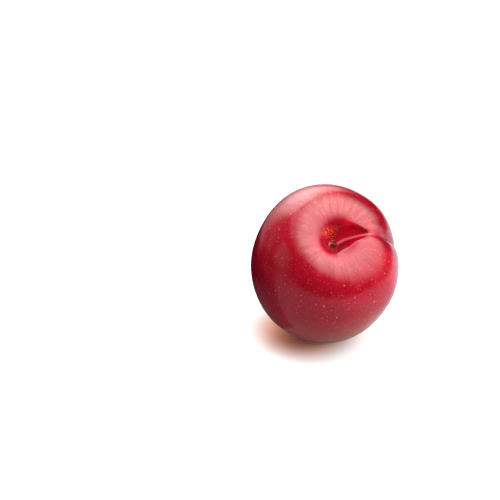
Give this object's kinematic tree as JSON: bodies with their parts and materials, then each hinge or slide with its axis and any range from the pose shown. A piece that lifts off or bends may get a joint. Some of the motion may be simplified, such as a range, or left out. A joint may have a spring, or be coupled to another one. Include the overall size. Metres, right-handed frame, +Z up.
{
  "type": "plum",
  "caption": "Whole ripe plum lying on one cheek, with a stalk cavity, an empty stalk scar and a suture groove; rests on a small flat spot.",
  "frame": {"origin": "middle of the small flat spot that the fruit rests on", "axes": "+Z up; the stalk axis lies in the YZ plane and leans towards -Y; +X is the side of the fruit that carries the suture"},
  "size_m": [0.0571, 0.0637, 0.063],
  "materials": {
    "plum_skin": "waxy, semi-gloss crimson fruit skin with fine pale dots"
  },
  "bodies": {
    "root": {"plum": "plum_skin"}
  },
  "joints": []
}
